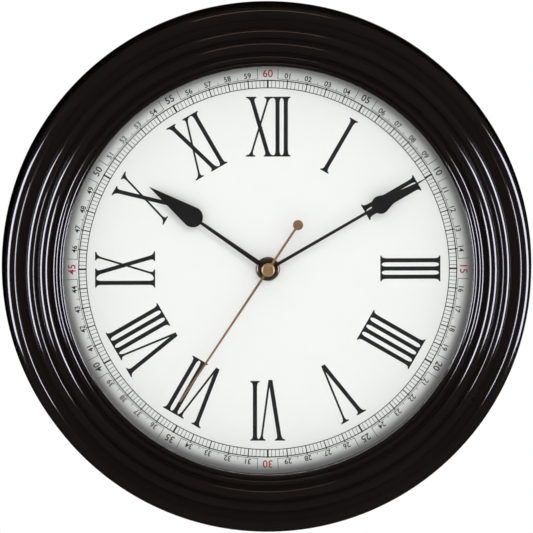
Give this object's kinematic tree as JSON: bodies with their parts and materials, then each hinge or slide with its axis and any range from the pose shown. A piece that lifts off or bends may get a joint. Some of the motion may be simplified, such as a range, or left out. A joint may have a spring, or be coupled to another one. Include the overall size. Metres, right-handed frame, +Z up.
{
  "type": "schoolhouse wall clock",
  "caption": "Round schoolhouse wall clock with a deep beaded case, glass front, numbered dial, hour, minute and second hands and a geared battery movement.",
  "frame": {"origin": "on the hand axis, in the plane of the wall that the case rests against", "axes": "+Z up to twelve o'clock, dial faces -Y, +Y points into the wall, +X to the right seen from the front"},
  "size_m": [0.3052, 0.0405, 0.3052],
  "materials": {
    "case_plastic": "glossy moulded",
    "lens_glass": "polished clear",
    "reveal_plastic": "satin moulded",
    "dial_enamel": "printed satin",
    "back_plastic": "fine textured",
    "screw_steel": "zinc plated",
    "hanger_steel": "zinc plated sheet",
    "hand_black": "satin painted",
    "nut_bronze": "dark polished bronze",
    "cap_copper": "turned copper plate",
    "second_brass": "aged satin",
    "movement_plastic": "moulded",
    "cover_plastic": "moulded",
    "washer_rubber": "matt",
    "stem_brass": "turned",
    "board_fibre": "coated laminate",
    "chip_resin": "cast resin",
    "crystal_can": "bright can",
    "bobbin_plastic": "moulded",
    "winding_copper": "enamelled wire",
    "core_iron": "stamped",
    "contact_nickel": "nickel plated spring",
    "cell_steel": "plated can",
    "cell_jacket": "printed film",
    "magnet_ferrite": "sintered",
    "gear_natural": "moulded acetal",
    "gear_tinted": "moulded acetal",
    "arbor_steel": "ground",
    "pipe_brass": "turned",
    "knob_plastic": "moulded"
  },
  "bodies": {
    "case": {"bezel": "case_plastic", "lens": "lens_glass", "reveal_ring": "reveal_plastic", "dial": "dial_enamel", "back_plate": "back_plastic", "case_screws": "screw_steel", "hanger_plate": "hanger_steel", "hanger_screws": "screw_steel", "movement_housing": "movement_plastic", "movement_cover": "cover_plastic", "bearing_plate": "bobbin_plastic", "threaded_stem": "stem_brass", "rubber_washer": "washer_rubber", "front_washer": "stem_brass", "fixing_nut": "nut_bronze", "circuit_board": "board_fibre", "clock_chip": "chip_resin", "quartz_crystal": "crystal_can", "coil_bobbin": "bobbin_plastic", "coil_winding": "winding_copper", "coil_core": "core_iron", "stator": "core_iron", "positive_contact": "contact_nickel", "negative_contact": "contact_nickel"},
    "battery": {"battery_cell": "cell_steel", "battery_sleeve": "cell_jacket"},
    "seconds": {"second_wheel": "gear_natural", "second_arbor": "arbor_steel", "second_hand": "second_brass", "second_tube": "stem_brass", "hand_cap": "cap_copper"},
    "intermediate": {"intermediate_wheel": "gear_natural", "intermediate_pinion": "gear_natural"},
    "rotor": {"rotor_magnet": "magnet_ferrite", "rotor_pinion": "gear_natural"},
    "third": {"third_wheel": "gear_natural", "third_pinion": "gear_natural"},
    "centre": {"centre_wheel": "gear_natural", "clutch_spring": "contact_nickel"},
    "minutes": {"cannon_pinion": "pipe_brass", "minute_hand": "hand_black", "minute_bush": "stem_brass"},
    "minute_washer": {"minute_wheel_washer": "arbor_steel"},
    "motion": {"minute_wheel": "gear_natural"},
    "hour_washer": {"hour_wheel_washer": "contact_nickel"},
    "hours": {"hour_wheel": "gear_natural", "hour_hand": "hand_black", "hour_collet": "stem_brass"},
    "set_washer": {"set_shaft_washer": "arbor_steel"},
    "hand_set": {"set_shaft": "gear_tinted", "set_knob": "knob_plastic"}
  },
  "joints": [
    {"name": "second_hand_turn", "type": "hinge", "parent": "case", "child": "seconds", "pos_m": [0, -0.01, 0], "axis": [0, 1, 0], "continuous": true},
    {"name": "intermediate_turn", "type": "hinge", "parent": "case", "child": "intermediate", "pos_m": [0.00862, -0.01, -0.00152], "axis": [0, 1, 0], "continuous": true},
    {"name": "rotor_turn", "type": "hinge", "parent": "case", "child": "rotor", "pos_m": [0.01462, -0.01, -0.00152], "axis": [0, 1, 0], "continuous": true},
    {"name": "third_turn", "type": "hinge", "parent": "case", "child": "third", "pos_m": [0.00425, -0.01, 0.00736], "axis": [0, 1, 0], "continuous": true},
    {"name": "centre_turn", "type": "hinge", "parent": "case", "child": "centre", "pos_m": [0, -0.01, 0], "axis": [0, 1, 0], "continuous": true},
    {"name": "hand_setting", "type": "hinge", "parent": "centre", "child": "minutes", "pos_m": [0, -0.01, 0], "axis": [0, 1, 0], "continuous": true},
    {"name": "minute_washer_turn", "type": "hinge", "parent": "case", "child": "minute_washer", "pos_m": [-0.00705, -0.01, 0.00257], "axis": [0, 1, 0], "continuous": true},
    {"name": "motion_turn", "type": "hinge", "parent": "minute_washer", "child": "motion", "pos_m": [-0.00705, -0.01, 0.00257], "axis": [0, 1, 0], "continuous": true},
    {"name": "hour_washer_turn", "type": "hinge", "parent": "case", "child": "hour_washer", "pos_m": [0, -0.01, 0], "axis": [0, 1, 0], "continuous": true},
    {"name": "hour_turn", "type": "hinge", "parent": "hour_washer", "child": "hours", "pos_m": [0, -0.01, 0], "axis": [0, 1, 0], "continuous": true},
    {"name": "set_washer_turn", "type": "hinge", "parent": "case", "child": "set_washer", "pos_m": [-0.0108, -0.01, 0.00907], "axis": [0, 1, 0], "continuous": true},
    {"name": "set_knob_turn", "type": "hinge", "parent": "set_washer", "child": "hand_set", "pos_m": [-0.0108, -0.01, 0.00907], "axis": [0, 1, 0], "continuous": true},
    {"name": "battery_slide", "type": "slide", "parent": "case", "child": "battery", "axis": [0, 1, 0], "range_m": [0, 0.022]}
  ],
  "couplings": [
    {"joint": "intermediate_turn", "follows": "second_hand_turn", "ratio": -6},
    {"joint": "rotor_turn", "follows": "second_hand_turn", "ratio": 30},
    {"joint": "third_turn", "follows": "second_hand_turn", "ratio": -0.13333},
    {"joint": "centre_turn", "follows": "second_hand_turn", "ratio": 0.016667},
    {"joint": "minute_washer_turn", "follows": "second_hand_turn", "ratio": -0.0055556},
    {"joint": "hour_washer_turn", "follows": "second_hand_turn", "ratio": 0.0013889},
    {"joint": "set_washer_turn", "follows": "second_hand_turn", "ratio": 0.016667},
    {"joint": "motion_turn", "follows": "hand_setting", "ratio": -0.33333},
    {"joint": "hour_turn", "follows": "hand_setting", "ratio": 0.083333},
    {"joint": "set_knob_turn", "follows": "hand_setting", "ratio": 1}
  ]
}
